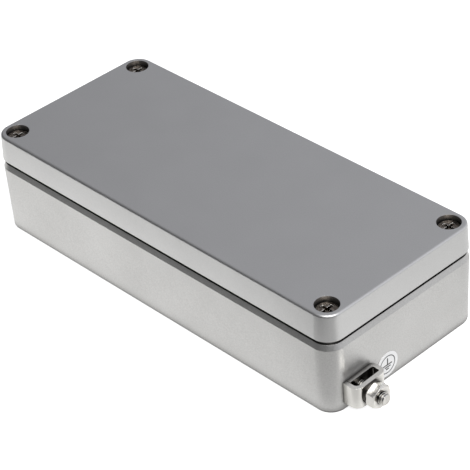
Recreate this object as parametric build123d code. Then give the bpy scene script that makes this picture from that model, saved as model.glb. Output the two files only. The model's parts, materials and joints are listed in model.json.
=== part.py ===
from build123d import *
import math
import os

# Die-cast aluminium enclosure: a base with four corner blocks, a screwed cover
# with a captive gasket, and an outer and an inner earth terminal. Millimetres.
# The origin is the middle of the underside, X runs along the length, the wall
# with the outer earth terminal faces +X, and Z points up.

# Outer form of the base
length = 150.0
width = 64.0
corner_radius = 6.0
wall_height = 23.6
base_draft = 1.0
base_edge_radius = 1.2
rim_slope_rise = 1.8
rim_slope_inset = 0.7

# Outer form of the cover
parting_gap = 1.5
cover_height = 9.1
cover_set_back = 0.1
cover_draft = 2.5
cover_edge_radius = 0.8

# Walls of the two castings
wall = 3.5
floor = 3.0
cover_plate = 3.0
cavity_draft = 1.0
cavity_corner = 3.0
cavity_floor_chamfer = 1.2

# Seal: a tongue on the base presses on a gasket in a groove of the cover
tongue_width = 1.3
tongue_height = 2.0
groove_side = 0.65
gasket_thickness = 2.0
gasket_clearance = 0.05
lip_thickness = 1.5
seal_web = 0.85

# Cover screws, metric 4, held in the cover by a ring under the boss
screw_inset = 6.0
thread_radius = 2.0
fit_clearance = 0.05
screw_clearance = 0.15
head_radius = 3.5
head_height = 2.6
head_depth = 1.65
head_pocket_radius = 3.8
head_chamfer = 0.25
screw_thread = 5.0
thread_below_rim = 0.65
screw_point = 0.5
shank_radius = 1.5
shank_clearance = 0.1
tapped_depth = 12.0
pad_margin = 0.7
retainer_radius = 3.6
retainer_thickness = 0.8
retainer_recess = 0.2
retainer_clearance = 0.1

# Cross recess in the screw heads
recess_span = 4.2
recess_slot = 0.95
recess_depth = 1.9
recess_taper = 9.0

# Mounting holes outside the seal, in channels of the corner blocks
mount_from_screw = 12.0
mount_hole_radius = 2.25
mount_channel_radius = 4.0
mount_flange = 5.0
core_margin = 1.0
core_web = 1.6

# Bosses on the floor for a plate or a rail
boss_spacing_x = 80.0
boss_spacing_y = 38.0
boss_radius = 3.5
boss_height = 4.0
boss_hole_radius = 1.25
boss_hole_depth = 5.5
boss_draft = 2.0

# Outer earth terminal on the +X wall
earth_from_side = 11.0
earth_z = 7.2
stud_embed = 8.6
stud_hole_beyond = 0.5
stud_proud = 11.5
stud_end = 0.4
stud_boss_radius = 4.2
stud_boss_beyond = 2.0
clamp_turn = 2.0
clamp_strip = 1.4
clamp_width = 7.6
clamp_depth = 5.6
clamp_right = 6.6
clamp_left = 5.8
clamp_leg_left = 4.2
clamp_bend = 1.2
clamp_curl = 2.1
clamp_hole_radius = 2.3
lock_washer_radius = 3.8
lock_washer_bore = 2.1
lock_washer_thickness = 0.9
lock_washer_split = 0.5
lock_washer_angle = 195.0
nut_across_flats = 7.0
nut_height = 3.2
nut_chamfer_angle = 30.0
nut_face_inset = 0.1
nut_turn = 30.0

# Round earth label beside the terminal
label_from_stud = 12.8
label_z = 6.1
label_radius = 4.4
label_thickness = 0.15

# Inner earth terminal on a floor boss
inner_earth_from_wall = 12.5
inner_earth_from_side = 21.5
inner_earth_boss_radius = 4.5
inner_earth_boss_height = 5.0
inner_earth_screw_length = 8.0
inner_earth_hole_depth = 6.5
saddle_thickness = 1.0
saddle_clearance = 0.2
saddle_lip = 1.2
saddle_corner = 0.8

# Levels and places that follow from the sizes above
rim_top = wall_height + rim_slope_rise
cover_bottom = rim_top + parting_gap
cover_top = cover_bottom + cover_height
tongue_top = rim_top + tongue_height
groove_top = tongue_top + gasket_thickness
head_top = cover_top - head_depth
head_seat = head_top - head_height
thread_top = rim_top - thread_below_rim
retainer_top = rim_top + retainer_recess + retainer_thickness
retainer_pocket_radius = retainer_radius + retainer_clearance
saddle_side = 2 * (lock_washer_radius + saddle_clearance + saddle_thickness)
screw_x = length / 2 - screw_inset
screw_y = width / 2 - screw_inset
mount_x = screw_x - mount_from_screw
groove_outside = tongue_width + groove_side
block_x = mount_x - mount_channel_radius - seal_web - groove_outside
block_y = screw_y - retainer_pocket_radius - seal_web - groove_outside
earth_y = earth_from_side - width / 2
label_y = earth_y + label_from_stud
inner_earth_x = length / 2 - wall - inner_earth_from_wall
inner_earth_y = inner_earth_from_side - width / 2
corners = {
    "front_right": (1, -1),
    "front_left": (-1, -1),
    "rear_right": (1, 1),
    "rear_left": (-1, 1),
}


def at_corners(x, y):
    return [(x * side_x, y * side_y) for side_x, side_y in corners.values()]


def level(height):
    return Plane.XY.offset(height)


def drilled(radius, bottom, top, places):
    """Upright round cutters between two levels."""
    sketch = Sketch() + [Pos(x, y) * Circle(radius) for x, y in places]
    return extrude(level(bottom) * sketch, amount=top - bottom)


def outline(inset=0.0):
    return RectangleRounded(length - 2 * inset, width - 2 * inset, corner_radius - inset)


def seal_outline(outward=0.0):
    """Inside edge of the base rim, stepped in round the corner blocks."""
    long_x = length / 2 - wall
    long_y = width / 2 - wall
    plan = Rectangle(2 * long_x, 2 * block_y) + Rectangle(2 * block_x, 2 * long_y)
    plan = fillet(plan.vertices(), cavity_corner)
    return offset(plan, outward) if outward else plan


# Wall plane of the +X end, which leans in by the draft, and frames on it
wall_lean = math.radians(base_draft)
wall_normal = Vector(math.cos(wall_lean), 0, -math.sin(wall_lean))


def wall_point(y, z):
    return Vector(length / 2 - (wall_height - z) * math.tan(wall_lean), y, z)


def wall_frame(y, z):
    """Local X along the wall, local Y up the wall and local Z outward."""
    return Plane(origin=wall_point(y, z), x_dir=(0, 1, 0), z_dir=wall_normal)


earth_frame = wall_frame(earth_y, earth_z)


def base_housing():
    # Drafted outside with a rounded lower edge and a sloping rim
    walls = extrude(level(wall_height) * outline(), amount=wall_height, dir=(0, 0, -1), taper=base_draft)
    walls = fillet(walls.edges().group_by(Axis.Z)[0], base_edge_radius)
    slope_angle = math.degrees(math.atan2(rim_slope_inset, rim_slope_rise))
    walls += extrude(level(wall_height) * outline(), amount=rim_slope_rise, taper=slope_angle)

    # Tongue, then the cavity inside it
    tongue = seal_outline(tongue_width) - seal_outline()
    walls += extrude(level(rim_top) * tongue, amount=tongue_height)
    depth = rim_top - floor
    cavity = extrude(level(rim_top) * seal_outline(), amount=depth, dir=(0, 0, -1), taper=cavity_draft)
    cavity = chamfer(cavity.edges().group_by(Axis.Z)[0], cavity_floor_chamfer)
    housing = walls - cavity

    # Corner blocks: tapped holes for the cover and channels for the mounting screws
    screw_places = at_corners(screw_x, screw_y)
    housing -= drilled(thread_radius + fit_clearance, rim_top - tapped_depth, rim_top, screw_places)
    mount_places = at_corners(mount_x, screw_y)
    housing -= drilled(mount_channel_radius, mount_flange, rim_top, mount_places)
    housing -= drilled(mount_hole_radius, 0, mount_flange, mount_places)

    # Floor bosses with blind holes
    boss_places = at_corners(boss_spacing_x / 2, boss_spacing_y / 2)
    housing += [floor_boss(x, y, boss_radius, boss_height) for x, y in boss_places]
    boss_top = floor + boss_height
    housing -= drilled(boss_hole_radius, boss_top - boss_hole_depth, boss_top, boss_places)
    inner_top = floor + inner_earth_boss_height
    housing += floor_boss(inner_earth_x, inner_earth_y, inner_earth_boss_radius, inner_earth_boss_height)
    housing -= drilled(
        thread_radius + fit_clearance,
        inner_top - inner_earth_hole_depth,
        inner_top,
        [(inner_earth_x, inner_earth_y)],
    )

    # Thickening behind the outer earth stud, and its blind tapped hole
    reach = stud_embed + stud_boss_beyond
    thick = extrude(earth_frame * Circle(stud_boss_radius), amount=-reach)
    foot = Pos(wall_point(earth_y, earth_z).X - reach / 2, earth_y, earth_z / 2)
    thick += foot * Box(reach, 2 * stud_boss_radius, earth_z)
    within = extrude(level(floor / 2) * outline(wall / 2), amount=earth_z + stud_boss_radius)
    housing += thick & within
    hole_depth = stud_embed + stud_hole_beyond
    housing -= extrude(earth_frame * Circle(thread_radius + fit_clearance), amount=-hole_depth)
    return housing


def floor_boss(x, y, radius, rise):
    foot = radius + rise * math.tan(math.radians(boss_draft))
    return extrude(Pos(x, y, floor) * Circle(foot), amount=rise, taper=boss_draft)


def cover():
    # Drafted outside with a rounded upper edge
    body = extrude(level(cover_bottom) * outline(cover_set_back), amount=cover_height, taper=cover_draft)
    body = fillet(body.edges().group_by(Axis.Z)[-1], cover_edge_radius)
    pad_radius = screw_inset - rim_slope_inset - pad_margin
    screw_places = at_corners(screw_x, screw_y)
    body += drilled(pad_radius, rim_top, cover_bottom, screw_places)

    # Gasket groove and the pocket inside its lip
    groove = seal_outline(groove_outside) - seal_outline(-groove_side)
    body -= extrude(level(cover_bottom) * groove, amount=groove_top - cover_bottom)
    pocket = seal_outline(-groove_side - lip_thickness)
    body -= extrude(level(cover_bottom) * pocket, amount=cover_height - cover_plate)

    # Cored pockets over the mounting holes keep the corners from being lumps
    core_x = 2 * (mount_channel_radius + core_margin) - core_web
    core_y = 2 * (screw_inset - core_web - cover_set_back - core_margin)
    core = RectangleRounded(core_x, core_y, core_web)
    for x, y in at_corners(mount_x, screw_y):
        body -= extrude(level(cover_bottom) * Pos(x, y) * core, amount=cover_height - cover_plate)

    # Stepped screw holes with a recess for the retaining ring below
    body -= drilled(thread_radius + screw_clearance, rim_top, head_seat, screw_places)
    body -= drilled(head_pocket_radius, head_seat, cover_top, screw_places)
    body -= drilled(retainer_pocket_radius, rim_top, retainer_top, screw_places)
    return body


def cover_gasket():
    ring = seal_outline(groove_outside - gasket_clearance) - seal_outline(gasket_clearance - groove_side)
    return extrude(level(tongue_top) * ring, amount=gasket_thickness)


def cross_recess():
    """Cutter for a cross recess, its mouth at z = 0."""
    cross = Rectangle(recess_span, recess_slot) + Rectangle(recess_slot, recess_span)
    return extrude(cross, amount=recess_depth, dir=(0, 0, -1), taper=recess_taper)


def cheese_head():
    """Screw head on z = 0 with a cross recess in its top."""
    head = extrude(Circle(head_radius), amount=head_height)
    head = chamfer(head.edges().group_by(Axis.Z)[-1], head_chamfer)
    return head - Pos(0, 0, head_height) * cross_recess()


def threaded_end(top, reach):
    end = extrude(Pos(0, 0, top - reach) * Circle(thread_radius), amount=reach)
    return chamfer(end.edges().group_by(Axis.Z)[0], screw_point)


def cover_screw(x, y):
    shank = head_seat - thread_top
    screw = cheese_head() + extrude(Circle(shank_radius), amount=-shank)
    screw += threaded_end(-shank, screw_thread)
    return Pos(x, y, head_seat) * screw


def screw_retainer(x, y):
    ring = Circle(retainer_radius) - Circle(shank_radius + shank_clearance)
    return extrude(Pos(x, y, retainer_top - retainer_thickness) * ring, amount=retainer_thickness)


def lock_washer():
    """Flattened split ring on z = 0."""
    ring = Circle(lock_washer_radius) - Circle(lock_washer_bore)
    split = Rot(0, 0, lock_washer_angle) * Pos(lock_washer_radius, 0)
    ring -= split * Rectangle(2 * lock_washer_radius, lock_washer_split)
    return extrude(ring, amount=lock_washer_thickness)


def hex_nut():
    """Nut on z = 0 with both ends chamfered to a cone."""
    prism = extrude(RegularPolygon(nut_across_flats / 2, 6, major_radius=False), amount=nut_height)
    inside = nut_across_flats / 2 - nut_face_inset
    outside = nut_across_flats / math.sqrt(3)
    fall = (outside - inside) * math.tan(math.radians(nut_chamfer_angle))
    profile = Polyline(
        (0, 0), (inside, 0), (outside, fall), (outside, nut_height - fall), (inside, nut_height), (0, nut_height),
        close=True,
    )
    blank = prism & revolve(Plane.XZ * make_face(profile), Axis.Z)
    return blank - extrude(Circle(thread_radius + fit_clearance), amount=nut_height)


def earth_stud():
    stud = extrude(Pos(0, 0, -stud_embed) * Circle(thread_radius), amount=stud_embed + stud_proud)
    ends = stud.edges().filter_by(GeomType.CIRCLE)
    return earth_frame * chamfer(ends, stud_end)


def earth_clamp():
    """One strip folded round to a flat loop, the stud through both its legs."""
    near = clamp_strip / 2
    far = clamp_depth - clamp_strip / 2
    line = FilletPolyline(
        (-clamp_leg_left, near),
        (clamp_right - near, near),
        (clamp_right - near, far),
        (near - clamp_left, far),
        (near - clamp_left, 0),
        radius=[clamp_bend, clamp_bend, clamp_curl],
    )
    strip = extrude(Plane.XZ * trace(line, clamp_strip), amount=clamp_width / 2, both=True)
    hole = extrude(Circle(clamp_hole_radius), amount=clamp_depth)
    return earth_frame * Rot(0, 0, clamp_turn) * (strip - hole)


def earth_lock_washer():
    return earth_frame * Pos(0, 0, clamp_depth) * lock_washer()


def earth_nut():
    return earth_frame * Pos(0, 0, clamp_depth + lock_washer_thickness) * Rot(0, 0, nut_turn) * hex_nut()


def earth_label():
    return extrude(wall_frame(label_y, label_z) * Circle(label_radius), amount=label_thickness)


def inner_earth_saddle():
    """Square washer with two turned-up sides that keep a wire under it."""
    side = saddle_side / 2
    plate = extrude(RectangleRounded(saddle_side, saddle_side, saddle_corner), amount=saddle_thickness)
    for way in (-1, 1):
        lip = Pos(way * (side - saddle_thickness / 2), 0, (saddle_thickness + saddle_lip) / 2)
        plate += lip * Box(saddle_thickness, saddle_side - 2 * saddle_corner, saddle_thickness + saddle_lip)
    plate -= extrude(Circle(clamp_hole_radius), amount=saddle_thickness)
    return Pos(inner_earth_x, inner_earth_y, floor + inner_earth_boss_height) * plate


def inner_earth_lock_washer():
    seat = floor + inner_earth_boss_height + saddle_thickness
    return Pos(inner_earth_x, inner_earth_y, seat) * lock_washer()


def inner_earth_screw():
    seat = floor + inner_earth_boss_height + saddle_thickness + lock_washer_thickness
    screw = cheese_head() + threaded_end(0, inner_earth_screw_length)
    return Pos(inner_earth_x, inner_earth_y, seat) * screw


pieces = {
    "base_housing": base_housing(),
    "cover": cover(),
    "cover_gasket": cover_gasket(),
    "earth_stud": earth_stud(),
    "earth_clamp": earth_clamp(),
    "earth_lock_washer": earth_lock_washer(),
    "earth_nut": earth_nut(),
    "earth_label": earth_label(),
    "inner_earth_saddle": inner_earth_saddle(),
    "inner_earth_lock_washer": inner_earth_lock_washer(),
    "inner_earth_screw": inner_earth_screw(),
}
for corner, (side_x, side_y) in corners.items():
    pieces["cover_screw_" + corner] = cover_screw(screw_x * side_x, screw_y * side_y)
    pieces["screw_retainer_" + corner] = screw_retainer(screw_x * side_x, screw_y * side_y)

os.makedirs("parts", exist_ok=True)
for name, piece in pieces.items():
    export_step(piece, f"parts/{name}.step")
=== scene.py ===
import json
import math

import bmesh
import bpy
from mathutils import Matrix, Vector


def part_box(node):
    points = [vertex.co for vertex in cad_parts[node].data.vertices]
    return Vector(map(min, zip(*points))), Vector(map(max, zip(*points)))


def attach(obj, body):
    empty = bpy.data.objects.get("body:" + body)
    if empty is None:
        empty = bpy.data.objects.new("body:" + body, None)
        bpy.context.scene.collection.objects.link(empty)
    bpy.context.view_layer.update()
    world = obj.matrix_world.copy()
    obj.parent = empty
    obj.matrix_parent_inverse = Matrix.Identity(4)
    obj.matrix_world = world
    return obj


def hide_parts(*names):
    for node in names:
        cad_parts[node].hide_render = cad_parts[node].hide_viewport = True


# Looks of a small die-cast aluminium enclosure with an earth terminal on its end
# wall. Lengths are in metres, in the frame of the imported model.

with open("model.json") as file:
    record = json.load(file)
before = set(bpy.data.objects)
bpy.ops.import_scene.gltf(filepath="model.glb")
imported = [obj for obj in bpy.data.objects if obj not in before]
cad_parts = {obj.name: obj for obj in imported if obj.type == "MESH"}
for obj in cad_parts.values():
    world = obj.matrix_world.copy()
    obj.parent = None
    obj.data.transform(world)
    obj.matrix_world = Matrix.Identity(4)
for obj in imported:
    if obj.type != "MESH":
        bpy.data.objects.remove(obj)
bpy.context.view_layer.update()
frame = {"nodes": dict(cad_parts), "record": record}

MM = 0.001

# Camera, at the angle that the photograph was taken from. Angles are in degrees, and
# the photograph's side and optical centre in pixels.
camera_azimuth = 48.65
camera_elevation = 35.82
camera_roll = -4.75
camera_distance = 0.6278
camera_aim = Vector((0.00665, -0.00346, 0.018))
camera_lens = 154.7
camera_clip_start = 0.01
photo_side = 470
photo_centre = (234.4, 235.0)

# Room: soft bright sides, each with its azimuth and elevation, the half-angles at
# which it is full and gone, and its strength
room_level = 0.082
room_tint = (0.93, 0.94, 1.0, 1)
room_glows = (
    (124, 14, 15, 60, 0.65),
    (-160, 15, 5, 58, 0.36),
    (0, 90, 10, 55, 0.35),
)

# Floor: how far it reaches, how white it looks and its real colour. The azimuths point
# from the box to the floor that its near corner and its end wall mirror.
floor_reach = 3.0
floor_glow = 0.8
floor_paint = (0.8, 0.8, 0.8, 1)
corner_mirror_azimuth = 41
end_mirror_azimuth = 131

white = (1, 1, 1, 1)
black = (0, 0, 0, 1)
# Colour of the painted shade in gaps, corners and contacts
gap_shade = (0.1, 0.095, 0.09, 1)

# Sizes that the added pieces share with the model
wall_lean = math.radians(1.0)
stud_radius = 2.0 * MM
stud_proud = 11.5 * MM
stud_embed = 8.6 * MM
stud_end = 0.4 * MM
label_thickness = 0.15 * MM

# Rolled thread of the stud. Crest and flank are shares of half a pitch.
thread_pitch = 0.7 * MM
thread_depth = 0.38 * MM
thread_crest = 0.12
thread_flank = 0.62
thread_sides = 48
thread_rings = 360

# Print on the earth label. Heights are from the label's middle.
print_thickness = 0.03 * MM
ring_radius = 3.1 * MM
ring_line = 0.27 * MM
ring_sides = 72
sign_line = 0.4 * MM
bar_lengths = (3.8 * MM, 2.5 * MM, 1.2 * MM)
bar_step = 0.8 * MM
long_bar_height = -0.1 * MM
stem_height = 2.2 * MM


def view_axes(azimuth, elevation, roll=0):
    """Right, up and backward directions of a camera, from angles in degrees."""
    turn = Matrix.Rotation(math.radians(azimuth), 3, "Z")
    tilt = Matrix.Rotation(math.radians(90 - elevation), 3, "X")
    return turn @ tilt @ Matrix.Rotation(math.radians(roll), 3, "Z")


def toward(azimuth, elevation=0):
    """Direction from the object, from angles given like the camera's."""
    return view_axes(azimuth, elevation) @ Vector((0, 0, 1))


def stand_back(item, axes, distance):
    """Puts a camera or lamp at a distance, looking at the object."""
    place = camera_aim + axes @ Vector((0, 0, distance))
    item.matrix_world = Matrix.Translation(place) @ axes.to_4x4()
    bpy.context.scene.collection.objects.link(item)


def add_camera():
    data = bpy.data.cameras.new("camera")
    data.lens = camera_lens
    data.shift_x = (photo_side / 2 - photo_centre[0]) / photo_side
    data.shift_y = (photo_centre[1] - photo_side / 2) / photo_side
    data.clip_start = camera_clip_start
    camera = bpy.data.objects.new("camera", data)
    stand_back(camera, view_axes(camera_azimuth, camera_elevation, camera_roll), camera_distance)
    bpy.context.scene.camera = camera


class Field:
    """A socket in a node tree. An expression on fields adds its Math nodes."""

    def __init__(self, shading, socket):
        self.shading = shading
        self.socket = socket

    def math(self, operation, *values):
        return self.shading.node("ShaderNodeMath", {"operation": operation}, values)

    def __add__(self, other):
        return self.math("ADD", self, other)

    def __radd__(self, other):
        return self.math("ADD", other, self)

    def __sub__(self, other):
        return self.math("SUBTRACT", self, other)

    def __rsub__(self, other):
        return self.math("SUBTRACT", other, self)

    def __mul__(self, other):
        return self.math("MULTIPLY", self, other)

    def __rmul__(self, other):
        return self.math("MULTIPLY", other, self)


class Shading:
    """The node tree of a material or of the surround."""

    def __init__(self, owner):
        owner.use_nodes = True
        self.tree = owner.node_tree

    def node(self, kind, settings=None, inputs=(), output=0):
        """One node: its settings first, then the values or links of its sockets."""
        made = self.tree.nodes.new(kind)
        for name, value in (settings or {}).items():
            if name == "stops":
                set_stops(made.color_ramp, value)
            else:
                setattr(made, name, value)
        self.feed(made, inputs)
        return Field(self, made.outputs[output])

    def feed(self, node, inputs):
        pairs = inputs.items() if isinstance(inputs, dict) else enumerate(inputs)
        for socket, value in pairs:
            if isinstance(value, Field):
                self.tree.links.new(value.socket, node.inputs[socket])
            else:
                node.inputs[socket].default_value = value

    def place(self):
        return self.node("ShaderNodeTexCoord", output="Object")

    def noise(self, size, detail, roughness=0.5):
        """Noise whose lumps are about size metres across."""
        inputs = {"Vector": self.place(), "Scale": 1 / size, "Detail": detail, "Roughness": roughness}
        return self.node("ShaderNodeTexNoise", inputs=inputs)

    def blend(self, factor, low, high):
        """Colour between two colours, by the Mix node's own colour sockets."""
        colours = {"Factor": factor, 6: low, 7: high}
        return self.node("ShaderNodeMix", {"data_type": "RGBA"}, colours, output=2)

    def dot(self, vector, direction):
        settings = {"operation": "DOT_PRODUCT"}
        return self.node("ShaderNodeVectorMath", settings, {0: vector, 1: direction}, output="Value")

    def fade(self, value, start, end, low=0.0, high=1.0):
        """Soft step from low, at start, to high, at end."""
        inputs = {"Value": value, "From Min": start, "From Max": end, "To Min": low, "To Max": high}
        return self.node("ShaderNodeMapRange", {"interpolation_type": "SMOOTHSTEP"}, inputs)

    def ramp(self, value, *stops):
        """Grey ramp between two (place, level) stops."""
        return self.node("ShaderNodeValToRGB", {"stops": stops}, [value])

    def bump(self, height, distance, normal=None):
        inputs = {"Height": height, "Distance": distance}
        if normal:
            inputs["Normal"] = normal
        return self.node("ShaderNodeBump", inputs=inputs)

    def soft_edges(self, radius):
        return self.node("ShaderNodeBevel", {"samples": 4}, {"Radius": radius})

    def openness(self, reach):
        """One in the open, less in gaps and corners narrower than reach."""
        return self.node("ShaderNodeAmbientOcclusion", {"samples": 8}, {"Distance": reach}, output="AO")

    def ray(self, kind):
        return self.node("ShaderNodeLightPath", output=f"Is {kind} Ray")


class Finish(Shading):
    """A material in the making, with its Principled shader."""

    def __init__(self, name):
        self.material = bpy.data.materials.new(name)
        super().__init__(self.material)
        self.shader = self.tree.nodes["Principled BSDF"]

    def surface(self, **values):
        """Feeds the shader's sockets, such as base_color or roughness."""
        titles = {name: name.replace("_", " ").title().replace("Ior", "IOR") for name in values}
        self.feed(self.shader, {titles[name]: value for name, value in values.items()})

    def shaded_gaps(self, colour, reach, shut, clear):
        """A colour with painted shade: it darkens towards gap_shade where openness falls from clear to
        shut.
        """
        open_part = self.fade(self.openness(reach), shut, clear)
        return self.blend(open_part, gap_shade, colour)

    def uneven(self, pattern, level, less, more, end=0.7):
        """A level that varies with a pattern, from less below it to more above it."""
        return self.ramp(pattern, (0.3, level - less), (end, level + more))


def set_stops(ramp, stops):
    """Sets the two stops that a new ramp has."""
    for stop, (place, level) in zip(ramp.elements, stops):
        stop.position = place
        stop.color = (level, level, level, 1)


def powder_coat(name, light, dark, grain_size, grain_height, roughness, gap_reach):
    """Silver-grey powder coat with a sandy skin."""
    speck_share = 0.7
    edge_radius = 0.15 * MM
    coat = Finish(name)
    cloud = coat.noise(size=18 * MM, detail=3)
    speck = coat.noise(size=0.4 * MM, detail=3, roughness=0.7)
    grain = coat.noise(grain_size, detail=3, roughness=0.55)
    tone = coat.ramp(cloud * (1 - speck_share) + speck * speck_share, (0.35, 0.0), (0.65, 1.0))
    # The base colour carries painted shade in gaps and corners
    coat.surface(
        base_color=coat.shaded_gaps(coat.blend(tone, dark, light), gap_reach, shut=0.35, clear=0.85),
        metallic=0.92,
        roughness=coat.uneven(grain, roughness, less=0.04, more=0.05),
        normal=coat.bump(grain, grain_height, normal=coat.soft_edges(edge_radius)),
    )
    return coat.material


def plated(name, light, dark, roughness, mark_size, edge_radius, gap_reach):
    """Nickel-plated metal with faint handling marks."""
    mark_height = 0.006 * MM
    plate = Finish(name)
    cloud = plate.noise(size=1.4 * MM, detail=4)
    mark = plate.noise(mark_size, detail=4, roughness=0.7)
    # The base colour carries painted shade in gaps and corners
    plate.surface(
        base_color=plate.shaded_gaps(plate.blend(cloud, dark, light), gap_reach, shut=0.45, clear=0.93),
        metallic=1.0,
        roughness=plate.uneven(mark, roughness, less=0.05, more=0.1, end=0.75),
        normal=plate.bump(mark, mark_height, normal=plate.soft_edges(edge_radius)),
    )
    return plate.material


def turned_steel(name, light, dark, wear_and_highlight, roughness):
    """Darkened steel with fine marks on its faces, and lighter edges that are both wear and a painted
    highlight.
    """
    mark_height = 0.03 * MM
    steel = Finish(name)
    cloud = steel.noise(size=0.8 * MM, detail=4, roughness=0.6)
    mark = steel.ramp(cloud, (0.35, 0.0), (0.65, 1.0))
    rounded = steel.soft_edges(radius=0.4 * MM)
    flat = steel.node("ShaderNodeNewGeometry", output="Normal")
    # Painted highlight and wear: edges, where the rounded normal turns from the flat one, take the lighter
    # colour
    edge = steel.fade(steel.dot(rounded, flat), start=1.0, end=0.9)
    steel.surface(
        base_color=steel.blend(edge, steel.blend(mark, dark, light), wear_and_highlight),
        metallic=1.0,
        roughness=steel.uneven(mark, roughness, less=0.06, more=0.1),
        normal=steel.bump(mark, mark_height, normal=rounded),
    )
    return steel.material


def moulded(name, light, dark, roughness, grain_size):
    """Rubber or plastic with a fine moulded skin."""
    grain_height = 0.02 * MM
    skin = Finish(name)
    grain = skin.noise(grain_size, detail=3)
    skin.surface(
        base_color=skin.blend(grain, dark, light),
        roughness=skin.uneven(grain, roughness, less=0.05, more=0.05),
        normal=skin.bump(grain, grain_height),
    )
    return skin.material


def printed_film(name, light, dark, roughness):
    """Glossy white film, a little cloudy."""
    cloud_height = 0.01 * MM
    film = Finish(name)
    cloud = film.noise(size=2.5 * MM, detail=2)
    film.surface(
        base_color=film.blend(cloud, dark, light),
        roughness=film.uneven(cloud, roughness, less=0.06, more=0.06),
        ior=1.8,
        specular_ior_level=1.0,
        normal=film.bump(cloud, cloud_height),
    )
    return film.material


finishes = {
    "housing_coat": powder_coat(
        "housing_coat",
        light=(0.74, 0.735, 0.72, 1),
        dark=(0.60, 0.595, 0.58, 1),
        grain_size=0.5 * MM,
        grain_height=0.035 * MM,
        roughness=0.37,
        gap_reach=5 * MM,
    ),
    "cover_coat": powder_coat(
        "cover_coat",
        light=(0.75, 0.748, 0.738, 1),
        dark=(0.69, 0.688, 0.678, 1),
        grain_size=0.6 * MM,
        grain_height=0.015 * MM,
        roughness=0.34,
        gap_reach=6 * MM,
    ),
    "gasket_rubber": moulded(
        "gasket_rubber",
        light=(0.03, 0.03, 0.03, 1),
        dark=(0.012, 0.012, 0.012, 1),
        roughness=0.75,
        grain_size=0.3 * MM,
    ),
    "plated_stud": plated(
        "plated_stud",
        light=(1.0, 0.98, 0.94, 1),
        dark=(0.50, 0.48, 0.44, 1),
        roughness=0.16,
        mark_size=0.4 * MM,
        edge_radius=0.08 * MM,
        gap_reach=0.6 * MM,
    ),
    "plated_strip": plated(
        "plated_strip",
        light=(1.0, 0.985, 0.94, 1),
        dark=(0.96, 0.94, 0.89, 1),
        roughness=0.16,
        mark_size=0.5 * MM,
        edge_radius=0.15 * MM,
        gap_reach=4 * MM,
    ),
    "plated_nut": plated(
        "plated_nut",
        light=(1.0, 0.985, 0.945, 1),
        dark=(0.86, 0.83, 0.78, 1),
        roughness=0.1,
        mark_size=0.4 * MM,
        edge_radius=0.1 * MM,
        gap_reach=5 * MM,
    ),
    "washer_steel": turned_steel(
        "washer_steel",
        light=(0.12, 0.11, 0.10, 1),
        dark=(0.05, 0.045, 0.04, 1),
        wear_and_highlight=(0.20, 0.19, 0.175, 1),
        roughness=0.35,
    ),
    "screw_steel": turned_steel(
        "screw_steel",
        light=(0.40, 0.35, 0.30, 1),
        dark=(0.09, 0.072, 0.06, 1),
        wear_and_highlight=(1.0, 0.97, 0.90, 1),
        roughness=0.18,
    ),
    "retainer_plastic": moulded(
        "retainer_plastic",
        light=(0.75, 0.74, 0.70, 1),
        dark=(0.68, 0.67, 0.62, 1),
        roughness=0.5,
        grain_size=0.4 * MM,
    ),
    "label_film": printed_film(
        "label_film",
        light=(0.95, 0.95, 0.94, 1),
        dark=(0.91, 0.91, 0.90, 1),
        roughness=0.36,
    ),
    "label_ink": moulded(
        "label_ink",
        light=(0.02, 0.02, 0.02, 1),
        dark=(0.01, 0.01, 0.01, 1),
        roughness=0.4,
        grain_size=0.2 * MM,
    ),
}


def dress_nodes():
    """Gives each node of the model the finish of its slot."""
    slots = {part["node"]: part["material_slot"] for part in frame["record"]["subparts"]}
    for name, node in frame["nodes"].items():
        node.data.materials.clear()
        node.data.materials.append(finishes[slots[name]])


def wall_frame(origin):
    """Local X along the end wall, local Y up it and local Z outward."""
    outward = Vector((math.cos(wall_lean), 0, -math.sin(wall_lean)))
    along = Vector((0, 1, 0))
    up = outward.cross(along)
    axes = Matrix((along, up, outward)).transposed()
    return Matrix.Translation(origin) @ axes.to_4x4()


def make_piece(name, shape, place, finish, body):
    """Turns a finished shape into a piece of the scene that rides on a body."""
    bmesh.ops.transform(shape, matrix=place, verts=shape.verts)
    mesh = bpy.data.meshes.new(name)
    shape.to_mesh(mesh)
    shape.free()
    mesh.materials.append(finishes[finish])
    piece = bpy.data.objects.new(name, mesh)
    bpy.context.scene.collection.objects.link(piece)
    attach(piece, body)
    return piece


def add_loop(shape, outline, height):
    """A closed row of corners at one height."""
    return [shape.verts.new((x, y, height)) for x, y in outline]


def add_band(shape, low, high):
    """Faces between two rows that have as many corners."""
    for i in range(len(low)):
        j = (i + 1) % len(low)
        shape.faces.new((low[i], low[j], high[j], high[i]))


def add_ends(shape, low, high):
    """Closes the two ends of a solid."""
    shape.faces.new(high)
    shape.faces.new(list(reversed(low)))


def add_bar(shape, centre_x, centre_y, size_x, size_y):
    """Flat bar of print."""
    left, right = centre_x - size_x / 2, centre_x + size_x / 2
    bottom, top = centre_y - size_y / 2, centre_y + size_y / 2
    outline = [(left, bottom), (right, bottom), (right, top), (left, top)]
    low = add_loop(shape, outline, 0)
    high = add_loop(shape, outline, print_thickness)
    add_band(shape, low, high)
    add_ends(shape, low, high)


def circle_points(radius, count):
    turns = [2 * math.pi * i / count for i in range(count)]
    return [(radius * math.cos(turn), radius * math.sin(turn)) for turn in turns]


def add_printed_ring(shape):
    """Flat ring of print."""
    outer = circle_points(ring_radius + ring_line / 2, ring_sides)
    inner = circle_points(ring_radius - ring_line / 2, ring_sides)
    loops = [
        add_loop(shape, outer, 0),
        add_loop(shape, outer, print_thickness),
        add_loop(shape, inner, print_thickness),
        add_loop(shape, inner, 0),
    ]
    for index, loop in enumerate(loops):
        add_band(shape, loops[index - 1], loop)


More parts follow.
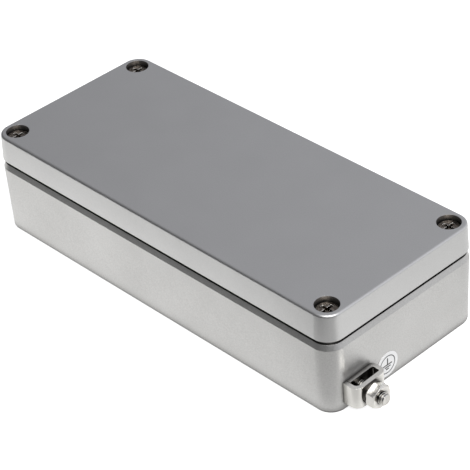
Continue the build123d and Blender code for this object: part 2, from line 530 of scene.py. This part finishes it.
def thread_radius(height, turn, half_length):
    """Radius of the stud at a height and a part of a turn, with a chamfer at each end."""
    phase = (height / thread_pitch - turn) % 1
    valley = (1 - abs(2 * phase - 1) - thread_crest) / thread_flank
    lead_in = stud_radius - stud_end + half_length - abs(height)
    return min(stud_radius - thread_depth * min(max(valley, 0), 1), lead_in)


def threaded_stud():
    """Stud with a rolled right-hand thread all along it."""
    length = stud_embed + stud_proud
    shape = bmesh.new()
    rows = []
    for ring in range(thread_rings + 1):
        height = length * (ring / thread_rings - 0.5)
        outline = []
        for side in range(thread_sides):
            turn = side / thread_sides
            radius = thread_radius(height, turn, length / 2)
            angle = 2 * math.pi * turn
            outline.append((radius * math.cos(angle), radius * math.sin(angle)))
        rows.append(add_loop(shape, outline, height))
    for low, high in zip(rows, rows[1:]):
        add_band(shape, low, high)
    add_ends(shape, rows[0], rows[-1])
    low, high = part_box("earth_stud")
    place = wall_frame((low + high) / 2)
    piece = make_piece("threaded_earth_stud", shape, place, "plated_stud", "housing")
    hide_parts("earth_stud")


def earth_sign():
    """Ring with a protective-earth sign: a stem on three shortening bars."""
    shape = bmesh.new()
    add_printed_ring(shape)
    stem_centre = long_bar_height + sign_line / 2 + stem_height / 2
    add_bar(shape, 0, stem_centre, sign_line, stem_height)
    for step, bar_length in enumerate(bar_lengths):
        add_bar(shape, 0, long_bar_height - step * bar_step, bar_length, sign_line)
    low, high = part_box("earth_label")
    place = wall_frame((low + high) / 2) @ Matrix.Translation((0, 0, label_thickness / 2))
    make_piece("earth_sign", shape, place, "label_ink", "housing")


def surround_light():
    """Dim room with soft bright sides, which the camera sees as white."""
    world = bpy.data.worlds.new("surround")
    bpy.context.scene.world = world
    room = Shading(world)
    direction = room.node("ShaderNodeTexCoord", output="Generated")
    level = room_level
    for azimuth, elevation, full, gone, strength in room_glows:
        facing = room.dot(direction, toward(azimuth, elevation))
        edges = math.cos(math.radians(gone)), math.cos(math.radians(full))
        level = level + strength * room.fade(facing, *edges)
    seen = room.ray("Camera") + room.ray("Transmission")
    tint = room.blend(seen, room_tint, white)
    room.feed(room.tree.nodes["Background"], {"Color": tint, "Strength": level + seen * (1 - level)})


def area_light(name, azimuth, elevation, distance, side, power):
    """Soft square panel that looks at the object from an angle like the camera's."""
    data = bpy.data.lights.new(name, "AREA")
    data.size = side
    data.energy = power
    lamp = bpy.data.objects.new(name, data)
    stand_back(lamp, view_axes(azimuth, elevation), distance)


def floor_finish():
    """Pale floor, white to the camera, that keeps soft shadows; for metal it glows with a painted
    reflection, white near the box and dimmer farther out, with painted shade close to the box.
    """
    pale = Finish("pale_floor")
    place = pale.place()
    nearer = pale.dot(place, toward(camera_azimuth))
    off_corner = pale.dot(place, toward(corner_mirror_azimuth))
    in_front = pale.dot(place, (0, -1, 0))
    behind_end = pale.dot(place, toward(end_mirror_azimuth))
    # Painted reflection: a patch past the near corner where the glow is dimmed
    past_corner = pale.fade(off_corner, start=0.067, end=0.08) * pale.fade(in_front, start=0.02, end=0.034)
    # Painted reflection: the floor glows for glossy rays only, and metal mirrors it less white as it lies
    # farther out, most of all in front
    glow = pale.fade(nearer, start=-0.05, end=0.09, low=1.0, high=0.86)
    glow = glow * (1 - 0.4 * past_corner)
    glow = glow * pale.fade(nearer, start=0.1, end=0.2, low=1.0, high=0.4)
    glow = glow * pale.fade(in_front, start=0.076, end=0.102, low=1.0, high=0.03)
    glow = glow * pale.fade(behind_end, start=0.065, end=0.14, low=1.0, high=0.78)
    # Painted shade: the reflected glow falls to half where the box is close, as a contact shadow
    painted_contact_shade = 0.5 + 0.5 * pale.openness(reach=4 * MM)
    painted_reflection = pale.ray("Glossy") * glow * painted_contact_shade
    seen = pale.ray("Camera") + pale.ray("Transmission")
    pale.surface(
        base_color=pale.blend(pale.ray("Glossy"), floor_paint, black),
        roughness=0.9,
        specular_ior_level=0.0,
        emission_color=pale.blend(painted_reflection + seen * floor_glow, black, white),
        emission_strength=1.0,
    )
    pale.material.cycles.emission_sampling = "NONE"
    return pale.material


def add_floor():
    mesh = bpy.data.meshes.new("floor")
    corners = [(x * floor_reach, y * floor_reach, 0) for x, y in ((-1, -1), (1, -1), (1, 1), (-1, 1))]
    mesh.from_pydata(corners, [], [(0, 1, 2, 3)])
    mesh.materials.append(floor_finish())
    floor = bpy.data.objects.new("floor", mesh)
    bpy.context.scene.collection.objects.link(floor)


add_camera()
dress_nodes()
threaded_stud()
earth_sign()
surround_light()
area_light("corner_panel", azimuth=60, elevation=54, distance=1.2, side=1.0, power=11)
add_floor()
bpy.context.scene.view_settings.view_transform = "Standard"
